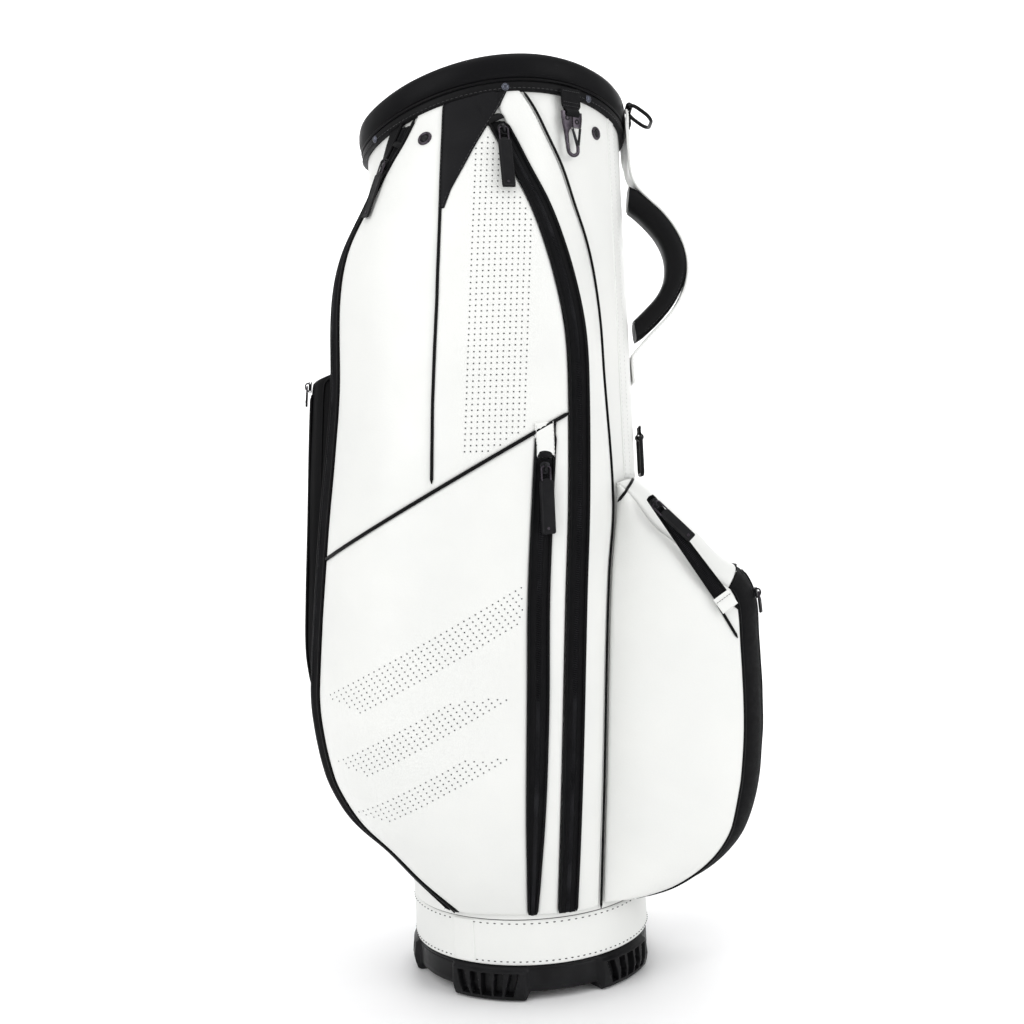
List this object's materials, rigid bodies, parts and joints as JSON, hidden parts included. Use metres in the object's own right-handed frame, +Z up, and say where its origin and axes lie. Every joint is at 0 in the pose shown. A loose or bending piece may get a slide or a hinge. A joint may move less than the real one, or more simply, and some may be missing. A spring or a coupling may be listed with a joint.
{
  "type": "golf staff bag",
  "caption": "Upright cart-style golf bag with padded collar, divided mouth, side apparel pockets, ball pocket, lifting handle, strap rings and a footed base.",
  "frame": {"origin": "middle of the bag's outline on the floor, between the five feet", "axes": "+Z up along the trunk, +X toward the handle and ball pocket, -Y toward the near apparel pocket"},
  "size_m": [0.4579, 0.3372, 0.8886],
  "materials": {
    "white_leathercloth": "smooth matt, fine grain",
    "black_leathercloth": "smooth matt, fine grain",
    "black_cloth": "plain woven nylon",
    "zip_tape": "woven tape with coil teeth",
    "gunmetal": "dark plated",
    "bright_nickel": "polished",
    "moulded_black": "fine matt",
    "inner_grey": "plain"
  },
  "bodies": {
    "bag": {"accent_patch": "black_leathercloth", "back_pocket": "black_leathercloth", "ball_cover": "white_leathercloth", "ball_diag_zip": "zip_tape", "ball_side_far": "white_leathercloth", "ball_side_near": "white_leathercloth", "ball_top": "white_leathercloth", "ball_zip_band": "zip_tape", "base_band": "white_leathercloth", "base_cup": "moulded_black", "collar_lip": "black_leathercloth", "collar_pad": "black_leathercloth", "divider_frame": "moulded_black", "divider_walls": "black_cloth", "far_gusset": "black_leathercloth", "far_panel": "white_leathercloth", "far_welt_strip": "white_leathercloth", "far_zip_back": "zip_tape", "far_zip_front": "zip_tape", "handle_grip": "black_leathercloth", "handle_strap": "white_leathercloth", "hook_webbing": "black_cloth", "lip_rivet_left": "bright_nickel", "lip_rivet_mid": "bright_nickel", "lip_rivet_right": "bright_nickel", "lower_ring_tab": "black_cloth", "near_gusset": "black_leathercloth", "near_lower_panel": "white_leathercloth", "near_lower_strip": "white_leathercloth", "near_upper_panel": "white_leathercloth", "near_welt_strip": "white_leathercloth", "near_zip_back": "zip_tape", "near_zip_front": "zip_tape", "near_zip_mid": "zip_tape", "near_zip_tab": "white_leathercloth", "stay_a": "inner_grey", "stay_b": "inner_grey", "strap_ring_tab": "black_cloth", "stud_left": "gunmetal", "stud_right": "gunmetal", "trunk_liner": "inner_grey", "trunk_skin": "white_leathercloth"},
    "front_zip_runner": {"front_zip_slider": "gunmetal"},
    "front_zip_tag": {"front_zip_pull": "gunmetal"},
    "mid_zip_runner": {"mid_zip_slider": "gunmetal"},
    "mid_zip_tag": {"mid_zip_pull": "gunmetal"},
    "back_zip_runner": {"back_zip_slider": "gunmetal"},
    "back_zip_tag": {"back_zip_pull": "gunmetal"},
    "far_front_zip_runner": {"far_front_zip_slider": "gunmetal"},
    "far_front_zip_tag": {"far_front_zip_pull": "gunmetal"},
    "ball_diag_runner": {"ball_diag_slider": "gunmetal"},
    "ball_diag_tag": {"ball_diag_pull": "gunmetal"},
    "ball_zip_runner": {"ball_zip_slider": "gunmetal"},
    "ball_zip_tag": {"ball_zip_pull": "gunmetal"},
    "back_pocket_zip_runner": {"back_pocket_zip_slider": "gunmetal"},
    "back_pocket_zip_tag": {"back_pocket_zip_pull": "gunmetal"},
    "shoulder_ring": {"strap_ring": "moulded_black"},
    "side_ring": {"lower_ring": "moulded_black"},
    "clip": {"hook_body": "gunmetal"},
    "clip_gate": {"hook_gate": "gunmetal"}
  },
  "joints": [
    {"name": "front_zip_slide", "type": "slide", "parent": "bag", "child": "front_zip_runner", "axis": [0.4136, -0.0781, -0.9071], "range_m": [0, 0.045]},
    {"name": "front_zip_swing", "type": "hinge", "parent": "front_zip_runner", "child": "front_zip_tag", "pos_m": [-0.00323, -0.1412, 0.81607], "axis": [-0.9734, -0.2291, 0], "range_deg": [0, 80]},
    {"name": "mid_zip_slide", "type": "slide", "parent": "bag", "child": "mid_zip_runner", "axis": [-0.0936, -0.0044, -0.9956], "range_m": [0, 0.1]},
    {"name": "mid_zip_swing", "type": "hinge", "parent": "mid_zip_runner", "child": "mid_zip_tag", "pos_m": [0.0194, -0.16705, 0.49991], "axis": [-0.9774, -0.2115, 0], "range_deg": [0, 120]},
    {"name": "back_zip_slide", "type": "slide", "parent": "bag", "child": "back_zip_runner", "axis": [-0.5359, 0.217, -0.8159], "range_m": [0, 0.04]},
    {"name": "back_zip_swing", "type": "hinge", "parent": "back_zip_runner", "child": "back_zip_tag", "pos_m": [-0.11993, -0.10201, 0.80092], "axis": [-0.5796, 0.8048, 0.1275], "range_deg": [0, 80]},
    {"name": "far_front_zip_slide", "type": "slide", "parent": "bag", "child": "far_front_zip_runner", "axis": [0.4136, 0.0781, -0.9071], "range_m": [0, 0.045]},
    {"name": "far_front_zip_swing", "type": "hinge", "parent": "far_front_zip_runner", "child": "far_front_zip_tag", "pos_m": [-0.00323, 0.1412, 0.81607], "axis": [0.9734, -0.2291, 0], "range_deg": [0, 80]},
    {"name": "ball_diag_slide", "type": "slide", "parent": "bag", "child": "ball_diag_runner", "axis": [0.5467, 0.0294, -0.8368], "range_m": [0, 0.07]},
    {"name": "ball_diag_swing", "type": "hinge", "parent": "ball_diag_runner", "child": "ball_diag_tag", "pos_m": [0.12394, -0.10755, 0.46239], "axis": [-0.7208, 0.0055, -0.6931], "range_deg": [0, 110]},
    {"name": "ball_zip_slide", "type": "slide", "parent": "bag", "child": "ball_zip_runner", "axis": [0.0721, 0, -0.9974], "range_m": [0, 0.05]},
    {"name": "ball_zip_swing", "type": "hinge", "parent": "ball_zip_runner", "child": "ball_zip_tag", "pos_m": [0.2258, -0.06833, 0.37038], "axis": [-0.4022, -0.9156, 0], "range_deg": [0, 120]},
    {"name": "back_pocket_zip_slide", "type": "slide", "parent": "bag", "child": "back_pocket_zip_runner", "axis": [-0.0835, 0, -0.9965], "range_m": [0, 0.08]},
    {"name": "back_pocket_zip_swing", "type": "hinge", "parent": "back_pocket_zip_runner", "child": "back_pocket_zip_tag", "pos_m": [-0.2145, -0.03308, 0.59847], "axis": [-0.1924, 0.9813, 0], "range_deg": [0, 120]},
    {"name": "shoulder_ring_turn", "type": "hinge", "parent": "bag", "child": "shoulder_ring", "pos_m": [0.1293, 0, 0.876], "axis": [0, 1, 0], "range_deg": [-100, 40]},
    {"name": "side_ring_turn", "type": "hinge", "parent": "bag", "child": "side_ring", "pos_m": [0.1235, 0, 0.5325], "axis": [0, -1, 0], "range_deg": [0, 100]},
    {"name": "clip_swing", "type": "hinge", "parent": "bag", "child": "clip", "pos_m": [0.06173, -0.11616, 0.8345], "axis": [-0.8387, -0.5446, 0], "range_deg": [0, 90]},
    {"name": "clip_gate_open", "type": "hinge", "parent": "clip", "child": "clip_gate", "pos_m": [0.06995, -0.11082, 0.8066], "axis": [0.5446, -0.8387, 0], "range_deg": [0, 24], "stiffness_Nm_per_rad": 0.01, "springref_deg": -5.73}
  ]
}
